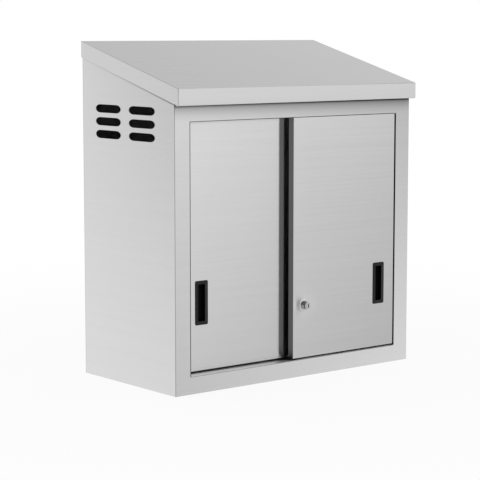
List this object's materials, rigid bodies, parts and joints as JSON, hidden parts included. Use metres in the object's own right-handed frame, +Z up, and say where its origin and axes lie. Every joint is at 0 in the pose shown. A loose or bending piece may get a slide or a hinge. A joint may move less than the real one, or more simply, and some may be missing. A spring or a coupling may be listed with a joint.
{
  "type": "wall cabinet",
  "caption": "Folded stainless steel wall cabinet with a sloped hood, sliding doors with recessed pulls, a push lock, a loose shelf and vented sides.",
  "frame": {"origin": "middle of the bottom of the cabinet's box, on the plane that it stands on", "axes": "+X to the right of someone facing the doors, +Y to the wall, +Z up"},
  "size_m": [0.77, 0.401, 0.8382],
  "materials": {
    "brushed_body": "brushed along the width, satin",
    "plain_inside": "mill finish, dull",
    "lock_chrome": "polished",
    "pull_plastic": "black, fine grain",
    "wheel_nylon": "natural nylon",
    "buffer_rubber": "matt black"
  },
  "bodies": {
    "cabinet": {"hood": "brushed_body", "roof_stiffener": "plain_inside", "front_frame": "brushed_body", "left_side_panel": "brushed_body", "right_side_panel": "brushed_body", "back_panel": "brushed_body", "floor_pan": "brushed_body", "floor_stiffener": "plain_inside", "wall_rail_upper": "plain_inside", "wall_rail_lower": "plain_inside", "upper_track": "plain_inside", "track_stop_front": "buffer_rubber", "track_stop_back": "buffer_rubber", "floor_guide": "pull_plastic", "floor_guide_screw": "plain_inside", "pilaster_left_front": "plain_inside", "pilaster_left_back": "plain_inside", "pilaster_right_front": "plain_inside", "pilaster_right_back": "plain_inside", "shelf_clip_left_front": "plain_inside", "shelf_clip_left_back": "plain_inside", "shelf_clip_right_front": "plain_inside", "shelf_clip_right_back": "plain_inside", "shelf": "brushed_body", "shelf_stiffener": "plain_inside", "jamb_buffer_left_upper": "buffer_rubber", "jamb_buffer_left_lower": "buffer_rubber", "jamb_buffer_right_upper": "buffer_rubber", "jamb_buffer_right_lower": "buffer_rubber"},
    "left_door": {"left_door_skin": "brushed_body", "left_door_liner": "brushed_body", "left_door_pull": "pull_plastic", "left_door_hanger_a": "plain_inside", "left_door_hanger_b": "plain_inside", "left_door_hanger_screw_a": "plain_inside", "left_door_hanger_screw_b": "plain_inside", "left_door_axle_a": "plain_inside", "left_door_axle_b": "plain_inside"},
    "left_wheel_a": {"left_door_wheel_a": "wheel_nylon"},
    "left_wheel_b": {"left_door_wheel_b": "wheel_nylon"},
    "right_door": {"right_door_skin": "brushed_body", "right_door_liner": "brushed_body", "right_door_pull": "pull_plastic", "right_door_hanger_a": "plain_inside", "right_door_hanger_b": "plain_inside", "right_door_hanger_screw_a": "plain_inside", "right_door_hanger_screw_b": "plain_inside", "right_door_axle_a": "plain_inside", "right_door_axle_b": "plain_inside", "lock_housing": "lock_chrome", "lock_nut": "plain_inside", "lock_spring": "plain_inside"},
    "right_wheel_a": {"right_door_wheel_a": "wheel_nylon"},
    "right_wheel_b": {"right_door_wheel_b": "wheel_nylon"},
    "barrel": {"lock_barrel": "lock_chrome"},
    "plug": {"lock_key_plug": "lock_chrome"}
  },
  "joints": [
    {"name": "left_door_slide", "type": "slide", "parent": "cabinet", "child": "left_door", "axis": [1, 0, 0], "range_m": [0, 0.316]},
    {"name": "left_wheel_a_roll", "type": "hinge", "parent": "left_door", "child": "left_wheel_a", "pos_m": [-0.288, -0.1405, 0.6973], "axis": [0, 1, 0], "range_deg": [0, 1646]},
    {"name": "left_wheel_b_roll", "type": "hinge", "parent": "left_door", "child": "left_wheel_b", "pos_m": [-0.033, -0.1405, 0.6973], "axis": [0, 1, 0], "range_deg": [0, 1646]},
    {"name": "right_door_slide", "type": "slide", "parent": "cabinet", "child": "right_door", "axis": [-1, 0, 0], "range_m": [0, 0.316]},
    {"name": "right_wheel_a_roll", "type": "hinge", "parent": "right_door", "child": "right_wheel_a", "pos_m": [0.033, -0.1685, 0.6973], "axis": [0, -1, 0], "range_deg": [0, 1646]},
    {"name": "right_wheel_b_roll", "type": "hinge", "parent": "right_door", "child": "right_wheel_b", "pos_m": [0.288, -0.1685, 0.6973], "axis": [0, -1, 0], "range_deg": [0, 1646]},
    {"name": "lock_push", "type": "slide", "parent": "right_door", "child": "barrel", "axis": [0, 1, 0], "range_m": [0, 0.0075], "stiffness_N_per_m": 500, "springref_m": -0.004, "deforming": ["lock_spring"]},
    {"name": "lock_turn", "type": "hinge", "parent": "barrel", "child": "plug", "pos_m": [0.023, -0.1895, 0.1805], "axis": [0, -1, 0], "range_deg": [0, 90]}
  ],
  "couplings": [
    {"joint": "left_wheel_a_roll", "follows": "left_door_slide", "rad_per_m": 90.909},
    {"joint": "left_wheel_b_roll", "follows": "left_door_slide", "rad_per_m": 90.909},
    {"joint": "right_wheel_a_roll", "follows": "right_door_slide", "rad_per_m": 90.909},
    {"joint": "right_wheel_b_roll", "follows": "right_door_slide", "rad_per_m": 90.909}
  ]
}
